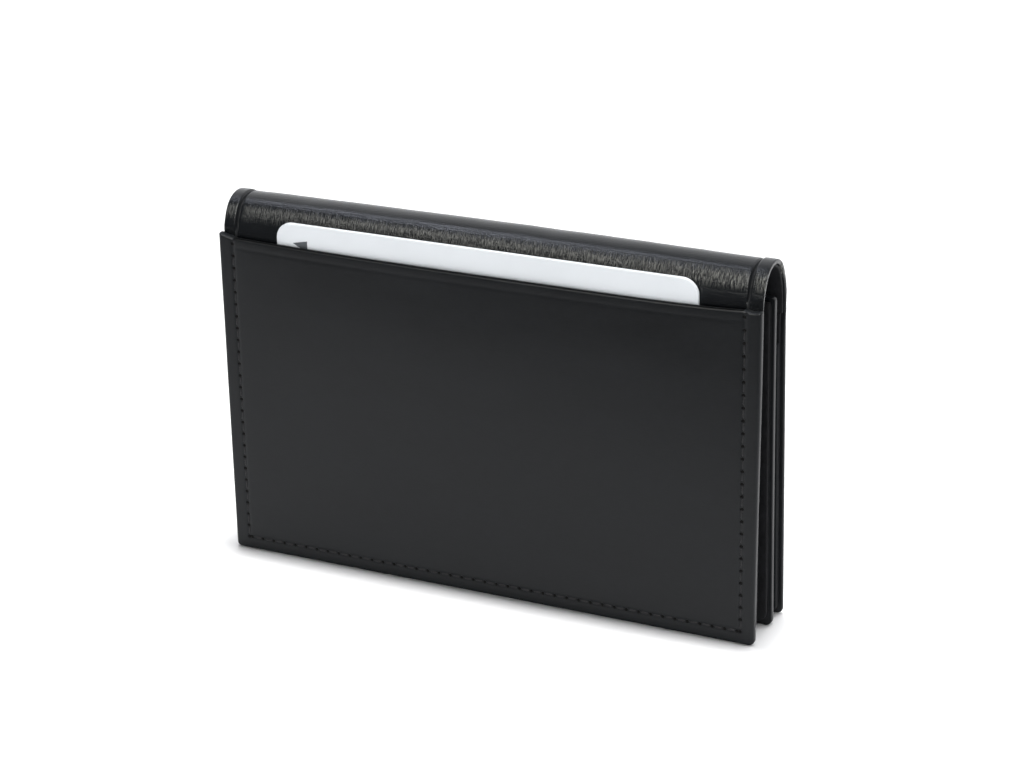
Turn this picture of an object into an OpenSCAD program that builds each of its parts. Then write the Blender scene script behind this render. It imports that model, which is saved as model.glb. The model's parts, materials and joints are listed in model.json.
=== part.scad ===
// Bifold card holder in black leather, standing on the edges of its leaves with the fold on top.
// The front half carries a flat outside pocket. A middle leaf hangs from it on a folded gusset,
// and a curved spine joins the front half to the flap behind.

/* [Case] */
// Width of the case from side to side
case_w = 110.3; // [100:0.1:122]
// Height of the outside pocket's mouth and of the middle leaf
mouth_h = 65.1; // [60:0.1:72]
// How much narrower the outer cover is than the outside pocket
cover_step = 0.6; // [0.2:0.1:1.2]
// How much narrower the middle leaf is than the outside pocket
leaf_step = 0.8; // [0.4:0.1:2]
// Radius of the front half's lower corners
front_corner_r = 1; // [0.6:0.1:2]
// Radius of the lower corners of the middle leaf and the flap
leaf_corner_r = 1.2; // [1:0.1:3]
// Gap between the front half and the middle leaf
compartment_gap = 4.9; // [4.5:0.1:7]

/* [Layers] */
// Thickness of the skived cover leather
leather_t = 0.6; // [0.5:0.05:0.9]
// Thickness of the stiffening board
board_t = 0.3; // [0.2:0.05:0.5]
// Thickness of the lining
lining_t = 0.5; // [0.4:0.05:0.7]
// Width of the turned leather edge beside each board
turned_edge_w = 1.2; // [0.8:0.1:2]
// How far each lining stays back from the outer edges
lining_inset = 0.8; // [0.4:0.1:1.2]

/* [Spine and flap] */
// Height at which the spine springs from the front cover
spring_h = 63.5; // [60:0.1:64]
// Outer radius of the spine over its two shoulders
shoulder_r = 11.9; // [10:0.1:14]
// Outer radius of the spine over its crown
crown_r = 5.15; // [5:0.05:7]
// Angle that the flap stands away from upright, in degrees
flap_splay = 1.7; // [1.5:0.1:3]

/* [Pockets] */
// Depth of the outside pocket from front to back
pocket_gap = 0.9; // [0.9:0.05:1.2]
// Thickness of the outside pocket's lining
pocket_lining_t = 0.25; // [0.2:0.05:0.3]
// Depth of the flap's inner pocket from front to back
inner_pocket_gap = 0.4; // [0.3:0.05:0.6]
// How far the inner pocket's mouth lies below the outside pocket's mouth
inner_pocket_drop = 10; // [6:0.5:20]
// Width of the sewn edge of every pocket and gusset
edge_w = 3.4; // [3:0.1:4]

/* [Gusset] */
// Width of one gusset wall from its sewn edge to the fold
gusset_depth = 8; // [7:0.5:10]
// Thickness of the gusset's sewn flange
flange_t = 0.5; // [0.45:0.05:0.6]
// Thickness of the gusset's folding walls
gusset_t = 0.4; // [0.3:0.05:0.4]
// Clearance between the two gusset walls at the fold
fold_clearance = 0.15; // [0.1:0.05:0.3]

/* [Stitching] */
// Distance from one stitch to the next
stitch_pitch = 2.45; // [2:0.05:3]
// Length of the thread that shows in one stitch
stitch_len = 1.75; // [1.2:0.05:1.9]
// Width of the thread
thread_w = 0.4; // [0.3:0.05:0.5]
// How far the thread stands proud of the leather
thread_rise = 0.15; // [0.1:0.05:0.2]
// Distance of the side stitch lines from the pocket's side edges
stitch_inset = 3.1; // [2.5:0.1:3.3]
// Height of the bottom stitch line above the lower edge
stitch_lift = 2.6; // [2:0.1:3.2]

/* [Card] */
// Width of the card
card_w = 85.6; // [85:0.1:91]
// Height of the card
card_h = 53.98; // [50:0.01:55]
// Thickness of the card
card_t = 0.76; // [0.3:0.01:0.76]
// Corner radius of the card
card_r = 3.18; // [1:0.01:4]
// Height that the card shows above the pocket's mouth
card_proud = 4.17; // [0:0.01:11]
// How far the card sits to the right of the middle
card_shift = 0.24; // [-4:0.01:4]

/* [Hidden] */

LEATHER = [0.10, 0.10, 0.11];
SPINE_LEATHER = [0.16, 0.16, 0.18];
LINING = [0.22, 0.22, 0.24];
BOARD = [0.45, 0.40, 0.33];
THREAD = [0.30, 0.30, 0.33];
CARD_WHITE = [0.92, 0.94, 0.96];

// Widths of the parts that are narrower than the outside pocket
cover_w = case_w - cover_step;
leaf_w = case_w - leaf_step;

// Layers of the front half, counted back from the pocket's front face
cover_y = leather_t + pocket_gap;
board_y = cover_y + leather_t;
lining_y = board_y + board_t;
inner_y = lining_y + lining_t;

// Layers of the middle leaf
leaf_y = inner_y + compartment_gap;
leaf_board_y = leaf_y + lining_t;
leaf_leather_y = leaf_board_y + board_t;
leaf_back_y = leaf_leather_y + leather_t;

// Arch of the spine. It is divided into flat strips that turn by equal angles at their hinge lines,
// which lie in its outer face. The first and the last strip make the shoulders.
spine_strips = 6;
strip_turn = (180 - flap_splay) / spine_strips;
strip_mitre = tan(strip_turn / 2);
strip_gap = 0.02;
crown = [cover_y + shoulder_r - (shoulder_r - crown_r) * cos(strip_turn),
         spring_h + (shoulder_r - crown_r) * sin(strip_turn)];

// Flap, from the end of the arch down to the resting face
flap_top = hinge_point(spine_strips);
flap_lift = 0.1;
flap_len = (flap_top[1] - flap_lift) / cos(flap_splay);
flap_pocket_depth = leather_t + board_t + lining_t + inner_pocket_gap;
flap_pocket_len = mouth_h - inner_pocket_drop;
case_d = flap_top[0] + flap_len * sin(flap_splay);
panel_board_h = spring_h - 2 * turned_edge_w;
leaf_board_h = mouth_h - 2 * turned_edge_w;

// Gusset walls, folded inward between the two flanges
gusset_x = case_w / 2 - edge_w;
gusset_front_y = inner_y + flange_t / 2;
gusset_back_y = leaf_y - flange_t / 2;
fold_offset = gusset_t + fold_clearance;
gusset_angle = asin((gusset_back_y - gusset_front_y - fold_offset) / (2 * gusset_depth));
gusset_start = 0.15;
mitre_gap = 0.25;
gusset_top = mouth_h - 0.5;
gusset_fold_top = mouth_h - 2;

// Card, standing in the outside pocket
card_y = leather_t + (pocket_gap - card_t) / 2;
card_z = mouth_h + card_proud - card_h;

stitch_x = case_w / 2 - stitch_inset;
stitch_top = mouth_h - 1.5;
shoulder_stitch_shift = 0.8;
cut = 1;
corner_fn = 48;

// Unit vector, as [y, z], that points from the inside of the arch through its outer face.
function outward(turn) = [-cos(turn), sin(turn)];

// Hinge line number i of the spine, as [y, z], counted from 0 at the front cover.
function hinge_point(i) =
    let (inner = min(max(i, 1), spine_strips - 1))
    crown + (crown_r - shoulder_r) * outward(inner * strip_turn) + shoulder_r * outward(i * strip_turn);

// Moves the case so that its origin is at the middle of its resting face.
module placed() {
    translate([0, -case_d / 2, 0])
        children();
}

// Moves a piece that is drawn below and in front of the flap's top outer edge to its place.
module on_flap() {
    placed()
        translate([0, flap_top[0], flap_top[1]])
            rotate([flap_splay, 0, 0])
                children();
}

// Outline of a leaf with square upper corners and rounded lower ones.
module leaf_outline(w, h, r) {
    translate([-w / 2, r])
        square([w, h - r]);
    translate([r - w / 2, 0])
        square([w - 2 * r, h]);
    for (side = [-1, 1])
        translate([side * (w / 2 - r), r])
            circle(r, $fn = corner_fn);
}

// Raises a flat outline into an upright sheet, from its front face back by t.
module upright(t) {
    translate([0, t, 0])
        rotate([90, 0, 0])
            linear_extrude(t)
                children();
}

module sheet(w, h, t, r) {
    upright(t)
        leaf_outline(w, h, r);
}

// Cover leather with its edges turned in around a board.
module turned_cover(w, h, r, board_h) {
    difference() {
        sheet(w, h, leather_t + board_t, r);
        translate([0, leather_t, turned_edge_w])
            board_sheet(w, board_h, board_t + cut);
    }
}

module board_sheet(w, h, t) {
    upright(t)
        translate([turned_edge_w - w / 2, 0])
            square([w - 2 * turned_edge_w, h]);
}

// Number of stitches along a line of the given length, with one in the corner at each end.
function stitch_count(length) = floor(length / stitch_pitch);

// One stitch, lying along X with the leather's face at y = 0 and the thread in front of it.
module stitch() {
    translate([-stitch_len / 2, -thread_rise, -thread_w / 2])
        cube([stitch_len, thread_rise, thread_w]);
}

// Row of stitches along X, centred on the origin.
module stitch_row(length) {
    n = stitch_count(length);
    for (i = [0 : n - 1])
        translate([(i - (n - 1) / 2) * stitch_pitch, 0, 0])
            stitch();
}

// Column of stitches that runs up from the height of the bottom stitch line.
module stitch_column(length) {
    n = stitch_count(length);
    for (i = [0 : n - 1])
        translate([0, 0, (i + 0.5) * stitch_pitch])
            rotate([0, 90, 0])
                stitch();
}

// Seam along the two sides and the bottom of a leaf, on a face that looks along -Y.
module seam(half_w, top) {
    translate([0, 0, stitch_lift])
        stitch_row(2 * half_w);
    for (side = [-1, 1])
        translate([side * half_w, 0, stitch_lift])
            stitch_column(top - stitch_lift);
}

// ---- Front half: outside pocket ----

module outside_pocket() {
    color(LEATHER)
        placed()
            sheet(case_w, mouth_h, leather_t - pocket_lining_t, front_corner_r);
}

module pocket_lining() {
    color(LINING)
        placed()
            translate([0, leather_t - pocket_lining_t, lining_inset])
                sheet(case_w - 2 * lining_inset, mouth_h - 2 * lining_inset, pocket_lining_t, front_corner_r);
}

// Upright turned edge of the outside pocket, on the given side.
module pocket_edge(side) {
    color(LEATHER)
        placed()
            translate([side * (case_w - edge_w - cover_step) / 2, leather_t, front_corner_r])
                translate([-(edge_w - cover_step) / 2, 0, 0])
                    cube([edge_w - cover_step, pocket_gap, mouth_h - front_corner_r]);
}

module pocket_edge_left() {
    pocket_edge(-1);
}

module pocket_edge_right() {
    pocket_edge(1);
}

module pocket_edge_bottom() {
    color(LEATHER)
        placed()
            translate([edge_w - case_w / 2, leather_t, 0])
                cube([case_w - 2 * edge_w, pocket_gap, edge_w]);
}

// ---- Front half: panel ----

module front_cover() {
    color(SPINE_LEATHER)
        placed()
            translate([0, cover_y, 0])
                turned_cover(cover_w, spring_h, front_corner_r, panel_board_h);
}

module front_board() {
    color(BOARD)
        placed()
            translate([0, board_y, turned_edge_w])
                board_sheet(cover_w, panel_board_h, board_t);
}

module front_lining() {
    color(LINING)
        placed()
            translate([0, lining_y, lining_inset])
                sheet(cover_w - 2 * lining_inset, spring_h - lining_inset, lining_t, front_corner_r);
}

module front_stitches() {
    color(THREAD)
        placed()
            seam(stitch_x, stitch_top);
}

module gusset_flange_front() {
    color(LINING)
        placed()
            translate([0, inner_y, lining_inset])
                upright(flange_t)
                    flange_outline(cover_w / 2 - lining_inset);
}

// Outline of a flange whose outer edge is half_w from the middle, with its lower edge at zero.
module flange_outline(half_w) {
    difference() {
        leaf_outline(2 * half_w, mouth_h - 2 * lining_inset, front_corner_r);
        translate([-gusset_x, edge_w - lining_inset])
            square([2 * gusset_x, mouth_h]);
    }
}

// ---- Spine ----

function strip_len(i) = norm(hinge_point(i) - hinge_point(i - 1));

// Moves a piece to strip number i. It is drawn with the strip's first hinge line at the origin,
// the strip reaching up and the inside of the arch towards +Y.
module on_strip(i) {
    foot = hinge_point(i - 1);
    placed()
        translate([0, foot[0], foot[1]])
            rotate([-(i - 0.5) * strip_turn, 0, 0])
                children();
}

// One layer of strip number i between two depths, with mitred ends.
module strip_layer(i, outer_depth, inner_depth, w) {
    len = strip_len(i);
    outer_end = strip_gap + outer_depth * strip_mitre;
    inner_end = strip_gap + inner_depth * strip_mitre;
    on_strip(i)
        translate([-w / 2, 0, 0])
            rotate([90, 0, 90])
                linear_extrude(w)
                    polygon([
                        [outer_depth, outer_end],
                        [inner_depth, inner_end],
                        [inner_depth, len - inner_end],
                        [outer_depth, len - outer_end]
                    ]);
}

module spine_cover(i) {
    color(SPINE_LEATHER)
        strip_layer(i, 0, leather_t, cover_w);
}

module spine_lining(i) {
    color(LINING)
        strip_layer(i, leather_t, leather_t + lining_t, cover_w - 2 * lining_inset);
}

// Stitches of one spine strip, near each end of the spine. Those of the first and the last strip
// stay above the outside pocket's upper corners.
module spine_stitches(i) {
    n = floor(strip_len(i) / stitch_pitch);
    shift = i == 1 ? shoulder_stitch_shift : i == spine_strips ? -shoulder_stitch_shift : 0;
    color(THREAD)
        on_strip(i)
            for (side = [-1, 1])
                for (k = [0 : n - 1])
                    translate([side * stitch_x, 0, strip_len(i) / 2 + shift + (k - (n - 1) / 2) * stitch_pitch])
                        rotate([0, 90, 0])
                            stitch();
}

module spine_cover_1() {
    spine_cover(1);
}

module spine_cover_2() {
    spine_cover(2);
}

module spine_cover_3() {
    spine_cover(3);
}

module spine_cover_4() {
    spine_cover(4);
}

module spine_cover_5() {
    spine_cover(5);
}

module spine_cover_6() {
    spine_cover(6);
}

module spine_lining_1() {
    spine_lining(1);
}

module spine_lining_2() {
    spine_lining(2);
}

module spine_lining_3() {
    spine_lining(3);
}

module spine_lining_4() {
    spine_lining(4);
}

module spine_lining_5() {
    spine_lining(5);
}

module spine_lining_6() {
    spine_lining(6);
}

module spine_stitches_1() {
    spine_stitches(1);
}

module spine_stitches_2() {
    spine_stitches(2);
}

module spine_stitches_3() {
    spine_stitches(3);
}

module spine_stitches_4() {
    spine_stitches(4);
}

module spine_stitches_5() {
    spine_stitches(5);
}

module spine_stitches_6() {
    spine_stitches(6);
}

// ---- Flap ----

// Turns a sheet that is drawn from its outer face inward so that it lines the flap.
module flap_layer(depth, lift) {
    on_flap()
        translate([0, -depth, lift - flap_len])
            mirror([0, 1, 0])
                children();
}

module flap_cover() {
    color(LEATHER)
        flap_layer(0, 0)
            turned_cover(cover_w, flap_len, leaf_corner_r, panel_board_h);
}

module flap_board() {
    color(BOARD)
        flap_layer(leather_t, turned_edge_w)
            board_sheet(cover_w, panel_board_h, board_t);
}

module flap_lining() {
    color(LINING)
        flap_layer(leather_t + board_t, lining_inset)
            sheet(cover_w - 2 * lining_inset, flap_len - lining_inset, lining_t, leaf_corner_r);
}

module flap_pocket() {
    color(LEATHER)
        flap_layer(flap_pocket_depth, lining_inset)
            sheet(cover_w - 2 * lining_inset, flap_pocket_len - lining_inset, leather_t, leaf_corner_r);
}

// Upright turned edge of the flap's inner pocket, on the given side.
module flap_pocket_edge(side) {
    w = edge_w - lining_inset;
    inner_x = cover_w / 2 - edge_w;
    color(LEATHER)
        flap_layer(flap_pocket_depth - inner_pocket_gap, leaf_corner_r + lining_inset)
            translate([side > 0 ? inner_x : -inner_x - w, 0, 0])
                cube([w, inner_pocket_gap, flap_pocket_len - leaf_corner_r - 2 * lining_inset]);
}

module flap_pocket_edge_left() {
    flap_pocket_edge(-1);
}

module flap_pocket_edge_right() {
    flap_pocket_edge(1);
}

module flap_pocket_edge_bottom() {
    half_w = cover_w / 2 - edge_w;
    color(LEATHER)
        flap_layer(flap_pocket_depth - inner_pocket_gap, lining_inset)
            translate([-half_w, 0, 0])
                cube([2 * half_w, inner_pocket_gap, edge_w - lining_inset]);
}

module flap_stitches() {
    color(THREAD)
        flap_layer(0, 0)
            seam(stitch_x, stitch_top);
}

// ---- Middle leaf ----

module leaf_leather() {
    color(LEATHER)
        placed()
            translate([0, leaf_back_y, 0])
                mirror([0, 1, 0])
                    turned_cover(leaf_w, mouth_h, leaf_corner_r, leaf_board_h);
}

module leaf_board() {
    color(BOARD)
        placed()
            translate([0, leaf_board_y, turned_edge_w])
                board_sheet(leaf_w, leaf_board_h, board_t);
}

module leaf_lining() {
    color(LINING)
        placed()
            translate([0, leaf_y, lining_inset])
                sheet(leaf_w - 2 * lining_inset, mouth_h - 2 * lining_inset, lining_t, leaf_corner_r);
}

module leaf_stitches() {
    color(THREAD)
        placed()
            translate([0, leaf_back_y, 0])
                mirror([0, 1, 0])
                    seam(stitch_x, stitch_top);
}

module gusset_flange_leaf() {
    color(LINING)
        placed()
            translate([0, leaf_y - flange_t, lining_inset])
                upright(flange_t)
                    flange_outline(leaf_w / 2 - lining_inset);
}

// ---- Gusset ----

// Side wall of the gusset: its sewn edge lies along Z at the origin and it reaches along X.
// Its lower end is mitred against the bottom wall.
module gusset_side_wall() {
    rotate([90, 0, 0])
        linear_extrude(gusset_t, center = true)
            polygon([
                [gusset_start, edge_w + gusset_start + mitre_gap],
                [gusset_depth, edge_w + gusset_depth + mitre_gap],
                [gusset_depth, gusset_fold_top],
                [gusset_start, gusset_top]
            ]);
}

// Bottom wall of the gusset: its sewn edge lies along X and it reaches upward.
module gusset_bottom_wall() {
    foot_w = gusset_x - gusset_start - mitre_gap;
    fold_w = gusset_x - gusset_depth - mitre_gap;
    rotate([90, 0, 0])
        linear_extrude(gusset_t, center = true)
            polygon([
                [-foot_w, gusset_start],
                [foot_w, gusset_start],
                [fold_w, gusset_depth],
                [-fold_w, gusset_depth]
            ]);
}

// Right-hand side wall, sewn at depth y and leaning by the given angle.
module gusset_side(y, lean) {
    translate([gusset_x, y, 0])
        rotate([0, 0, lean])
            mirror([1, 0, 0])
                gusset_side_wall();
}

module gusset_right_front() {
    color(LINING)
        placed()
            gusset_side(gusset_front_y, -gusset_angle);
}

module gusset_right_back() {
    color(LINING)
        placed()
            gusset_side(gusset_back_y, gusset_angle);
}

module gusset_left_front() {
    mirror([1, 0, 0])
        gusset_right_front();
}

module gusset_left_back() {
    mirror([1, 0, 0])
        gusset_right_back();
}

module gusset_bottom_front() {
    color(LINING)
        placed()
            translate([0, gusset_front_y, edge_w])
                rotate([-gusset_angle, 0, 0])
                    gusset_bottom_wall();
}

module gusset_bottom_back() {
    color(LINING)
        placed()
            translate([0, gusset_back_y, edge_w])
                rotate([gusset_angle, 0, 0])
                    gusset_bottom_wall();
}

// ---- Card ----

module card_outline() {
    translate([-card_w / 2, card_r])
        square([card_w, card_h - 2 * card_r]);
    translate([card_r - card_w / 2, 0])
        square([card_w - 2 * card_r, card_h]);
    for (side = [-1, 1])
        for (z = [card_r, card_h - card_r])
            translate([side * (card_w / 2 - card_r), z])
                circle(card_r, $fn = corner_fn);
}

module card() {
    color(CARD_WHITE)
        placed()
            translate([card_shift, card_y, card_z])
                upright(card_t)
                    card_outline();
}

outside_pocket();
pocket_lining();
pocket_edge_left();
pocket_edge_right();
pocket_edge_bottom();
front_cover();
front_board();
front_lining();
front_stitches();
gusset_flange_front();
spine_cover_1();
spine_cover_2();
spine_cover_3();
spine_cover_4();
spine_cover_5();
spine_cover_6();
spine_lining_1();
spine_lining_2();
spine_lining_3();
spine_lining_4();
spine_lining_5();
spine_lining_6();
spine_stitches_1();
spine_stitches_2();
spine_stitches_3();
spine_stitches_4();
spine_stitches_5();
spine_stitches_6();
flap_cover();
flap_board();
flap_lining();
flap_pocket();
flap_pocket_edge_left();
flap_pocket_edge_right();
flap_pocket_edge_bottom();
flap_stitches();
leaf_leather();
leaf_board();
leaf_lining();
leaf_stitches();
gusset_flange_leaf();
gusset_left_front();
gusset_right_front();
gusset_bottom_front();
gusset_left_back();
gusset_right_back();
gusset_bottom_back();
card();
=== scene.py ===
"""Looks of a bifold card holder in black leather: its skins, linings, threads, gusset and card.

Sizes inside this script are millimetres, in the CAD model's frame; meshes are built in metres.
"""

import json
import math

import bmesh
import bpy
import numpy as np
from mathutils import Matrix, Vector, noise


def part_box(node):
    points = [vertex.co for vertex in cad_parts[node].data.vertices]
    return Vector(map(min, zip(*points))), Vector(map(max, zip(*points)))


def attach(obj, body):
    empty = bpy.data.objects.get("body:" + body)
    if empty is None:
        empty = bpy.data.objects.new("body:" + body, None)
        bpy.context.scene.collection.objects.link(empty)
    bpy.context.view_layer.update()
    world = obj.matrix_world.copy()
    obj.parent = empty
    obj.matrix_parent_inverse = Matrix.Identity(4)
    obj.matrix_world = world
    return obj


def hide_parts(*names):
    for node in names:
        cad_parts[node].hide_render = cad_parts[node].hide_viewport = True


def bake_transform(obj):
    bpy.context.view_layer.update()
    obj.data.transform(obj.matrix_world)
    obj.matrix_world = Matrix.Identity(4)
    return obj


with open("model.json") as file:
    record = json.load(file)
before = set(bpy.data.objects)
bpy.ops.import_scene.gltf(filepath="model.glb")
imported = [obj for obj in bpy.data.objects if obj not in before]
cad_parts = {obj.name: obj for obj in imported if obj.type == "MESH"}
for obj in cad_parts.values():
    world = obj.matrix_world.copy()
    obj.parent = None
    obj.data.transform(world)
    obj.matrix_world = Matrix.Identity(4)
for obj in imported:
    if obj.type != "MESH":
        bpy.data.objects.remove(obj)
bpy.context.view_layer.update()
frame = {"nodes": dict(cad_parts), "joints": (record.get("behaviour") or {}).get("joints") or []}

MM = 0.001


# ---- Places and sizes read from the frame, in millimetres ----

def box(node):
    low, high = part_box(node)
    return Vector(low) / MM, Vector(high) / MM


def joint_point(name):
    for joint in frame["joints"]:
        if joint["name"] == name:
            return Vector(joint["pos_m"]) / MM


STRIPS = 6
HINGES = [joint_point(f"spine_fold_{i}") for i in range(1, STRIPS + 1)] + [joint_point("flap_fold")]

pocket_low, pocket_high = box("outside_pocket")
lining_low, lining_high = box("pocket_lining")
edge_low, edge_high = box("pocket_edge_right")
cover_low, cover_high = box("front_cover")
front_lining_low, front_lining_high = box("front_lining")
leaf_high = box("leaf_leather")[1]
leaf_lining_low, leaf_lining_high = box("leaf_lining")
stitch_low, stitch_high = box("front_stitches")
flange_low, flange_high = box("gusset_flange_front")
card_low, card_high = box("card")

FRONT = pocket_low.y
MOUTH = pocket_high.z
POCKET_HALF = pocket_high.x
COVER_HALF = cover_high.x
LEAF_HALF = leaf_high.x
LINING_HALF = front_lining_high.x
POCKET_LEATHER = pocket_high.y - pocket_low.y
POCKET_LINING = lining_high.y - lining_low.y
POCKET_WALL = POCKET_LEATHER + POCKET_LINING
POCKET_DEPTH = edge_high.y - FRONT
EDGE_BAND = POCKET_HALF - edge_low.x
LEATHER = 0.6
LINING = front_lining_high.y - front_lining_low.y
COVER_DEPTH = cover_high.y - cover_low.y
LINING_INSET = COVER_HALF - LINING_HALF
LEAF_CORNER = 1.2
TURNED_EDGE = 1.2

# Seam lines and threads
THREAD_W = 0.4
SEAM_HALF = stitch_high.x - THREAD_W / 2
SEAM_LIFT = stitch_low.z + THREAD_W / 2
STITCH_PITCH = 2.45
STITCH_LEN = 1.95
SEAM_TOP = MOUTH - 1.5


# ---- Small shape functions ----

def smooth(t):
    t = min(max(t, 0.0), 1.0)
    return t * t * (3 - 2 * t)


def bell(distance, reach):
    """1 on a line, falling to 0 at about twice the reach."""
    return math.exp(-(distance / reach) ** 2)


def ripple(x, z, size, seed):
    """Slow unevenness between -1 and 1."""
    return noise.noise(Vector((x / size, z / size, seed)))


def uneven(x, z, seed):
    """Unevenness of a large face of leather, in millimetres."""
    return 0.035 * ripple(x, z, 14, seed) + 0.012 * ripple(x, z, 4, seed + 1)


def positions(low, high, step, fine=()):
    """Grid positions from low to high, with closer ones around each (centre, reach, step) in fine."""
    count = max(1, round((high - low) / step))
    values = [low + (high - low) * i / count for i in range(count + 1)]
    for centre, reach, fine_step in fine:
        values = [v for v in values if abs(v - centre) > reach or v in (low, high)]
        n = round(2 * reach / fine_step)
        values += [centre - reach + 2 * reach * i / n for i in range(n + 1)]
    values = sorted(v for v in values if low <= v <= high)
    kept = [values[0]]
    for v in values[1:]:
        if v - kept[-1] > 0.004:
            kept.append(v)
    kept[-1] = high
    return kept


def edge_rings(low, high, radius, steps=6):
    """Positions that round the two ends of a stretch with the given radius."""
    rings = [radius * (1 - math.cos(math.pi / 2 * i / steps)) for i in range(steps + 1)]
    return [low + d for d in rings] + [high - d for d in rings]


def merge(values, extra, gap=0.003):
    kept = []
    for v in sorted(list(values) + list(extra)):
        if not kept or v - kept[-1] > gap:
            kept.append(v)
    return kept


def rounding(d, radius):
    """How far a rounded edge falls back at distance d from the outline."""
    if d >= radius:
        return 0.0
    return radius - math.sqrt(max(radius * radius - (radius - d) ** 2, 0.0))


# ---- Mesh building ----

def mesh_piece(name, points, faces, uvs, material, slot_name=None):
    """A piece from points in millimetres, with a UV in millimetres at each point."""
    mesh = bpy.data.meshes.new(name)
    mesh.from_pydata([(p[0] * MM, p[1] * MM, p[2] * MM) for p in points], [], faces)
    layer = mesh.uv_layers.new(name="UVMap")
    corners = np.empty(len(mesh.loops), np.int32)
    mesh.loops.foreach_get("vertex_index", corners)
    layer.data.foreach_set("uv", np.asarray(uvs, np.float32)[corners].ravel())
    work = bmesh.new()
    work.from_mesh(mesh)
    bmesh.ops.recalc_face_normals(work, faces=work.faces)
    work.to_mesh(mesh)
    work.free()
    mesh.polygons.foreach_set("use_smooth", [True] * len(mesh.polygons))
    piece = bpy.data.objects.new(name, mesh)
    bpy.context.scene.collection.objects.link(piece)
    mesh.materials.append(material)
    return piece


def grid_solid(front, back, uvs):
    """Closed surface from two grids of points, front[i][j] and back[i][j], joined round their borders."""
    nu, nv = len(front), len(front[0])
    points = [p for column in front for p in column] + [p for column in back for p in column]
    texture = [uv for column in uvs for uv in column] * 2
    shift = nu * nv
    faces = []
    for i in range(nu - 1):
        for j in range(nv - 1):
            a, b, c, d = i * nv + j, (i + 1) * nv + j, (i + 1) * nv + j + 1, i * nv + j + 1
            faces.append((a, b, c, d))
            faces.append((d + shift, c + shift, b + shift, a + shift))
    rim = [(i, 0) for i in range(nu)] + [(nu - 1, j) for j in range(1, nv)]
    rim += [(i, nv - 1) for i in range(nu - 2, -1, -1)] + [(0, j) for j in range(nv - 2, 0, -1)]
    for k, (i, j) in enumerate(rim):
        m, n = rim[(k + 1) % len(rim)]
        a, b = i * nv + j, m * nv + n
        faces.append((b, a, a + shift, b + shift))
    return points, faces, texture


def outline_distance(x, z, half, height, low_r, high_r):
    """Distance inward from a panel's outline. An upper radius of 0 means that it goes on there."""
    d = min(half - abs(x), z, height - z if high_r else half)
    for radius, level in ((low_r, z), (high_r, height - z)):
        beyond = abs(x) - (half - radius)
        below = radius - level
        if beyond > 0 and below > 0:
            d = radius - math.hypot(beyond, below)
    return max(d, 0.0)


def panel(name, half, height, place, material, slot_name, front, back, front_r, back_r,
          low_r=1.0, high_r=0.3, columns=(), rows=(), step=1.5, base=0.0, top=None, narrow=None):
    """A sheet of leather or lining. front(x, z) and back(x, z) are depths, and place(x, depth, z) puts
    a point in the frame. top(x) moves the upper edge, and narrow(x, z) draws the sides in. With a high_r of 0
    the sheet goes on into the spine, so that end is cut square."""
    xs = merge(positions(-half, half, step, columns), edge_rings(-half, half, max(front_r, back_r)))
    zs = merge(positions(0, height, step, rows), edge_rings(0, height, max(front_r, back_r)))
    zs = merge(zs, [low_r * i / 6 for i in range(1, 7)] + [height - high_r * i / 4 for i in range(1, 5)])
    face, rear, uvs = [], [], []
    for x0 in xs:
        face_column, rear_column, uv_column = [], [], []
        for z0 in zs:
            width = half
            if z0 < low_r:
                width = half - low_r + math.sqrt(max(low_r ** 2 - (low_r - z0) ** 2, 0))
            if height - z0 < high_r:
                width = half - high_r + math.sqrt(max(high_r ** 2 - (high_r - height + z0) ** 2, 0))
            x = x0 * width / half
            d = outline_distance(x, z0, half, height, low_r, high_r)
            if narrow:
                x -= math.copysign(narrow(x, z0), x)
            z = z0
            if top:
                z += top(x) * smooth(z0 / height)
            face_column.append(place(x, front(x, z) + rounding(d, front_r), base + z))
            rear_column.append(place(x, back(x, z) - rounding(d, back_r), base + z))
            uv_column.append((x, base + z))
        face.append(face_column)
        rear.append(rear_column)
        uvs.append(uv_column)
    points, faces, texture = grid_solid(face, rear, uvs)
    piece = mesh_piece(name, points, faces, texture, material, slot_name)
    if not high_r:
        sharpen_ends(piece, len(zs), (len(zs) - 1,))
    return piece


def sharpen_ends(piece, count, ends):
    """Keeps a square-cut end from shading the face beside it. The grid has count points in each column."""
    mesh = piece.data
    pairs = np.empty(2 * len(mesh.edges), np.int32)
    mesh.edges.foreach_get("vertices", pairs)
    rows = pairs.reshape(-1, 2) % count
    sharp = np.isin(rows, ends).all(axis=1)
    mesh.edges.foreach_set("use_edge_sharp", sharp)


def thread_piece(name, stitches, material):
    """Two-ply threads. Each stitch is (middle, direction, outward normal); its ends dive into the leather."""
    around, along = 10, 12
    points, faces, uvs = [], [], []
    for number, (middle, direction, outward) in enumerate(stitches):
        side = direction.cross(outward)
        first = len(points)
        for k in range(along + 1):
            t = 2 * k / along - 1
            lift = -0.03 - 0.4 * abs(t) ** 4
            slim = math.sqrt(max(1 - (0.93 * t) ** 6, 0.02))
            lean = 0.05 * math.sin(number * 2.4 + t)
            for m in range(around):
                angle = 2 * math.pi * m / around
                ply = 1 + 0.14 * math.cos(2 * (angle - 2.6 * t))
                wide = 0.5 * THREAD_W * slim * ply
                points.append(
                    middle + direction * (t * STITCH_LEN / 2)
                    + outward * (lift + 0.75 * wide * math.sin(angle))
                    + side * (lean + wide * math.cos(angle)))
                uvs.append((t * STITCH_LEN / 2, angle * 0.2))
        for k in range(along):
            for m in range(around):
                a, b = first + k * around + m, first + k * around + (m + 1) % around
                faces.append((a, b, b + around, a + around))
        faces.append(tuple(first + m for m in reversed(range(around))))
        faces.append(tuple(first + along * around + m for m in range(around)))
    return mesh_piece(name, points, faces, uvs, material, "thread")


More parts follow.
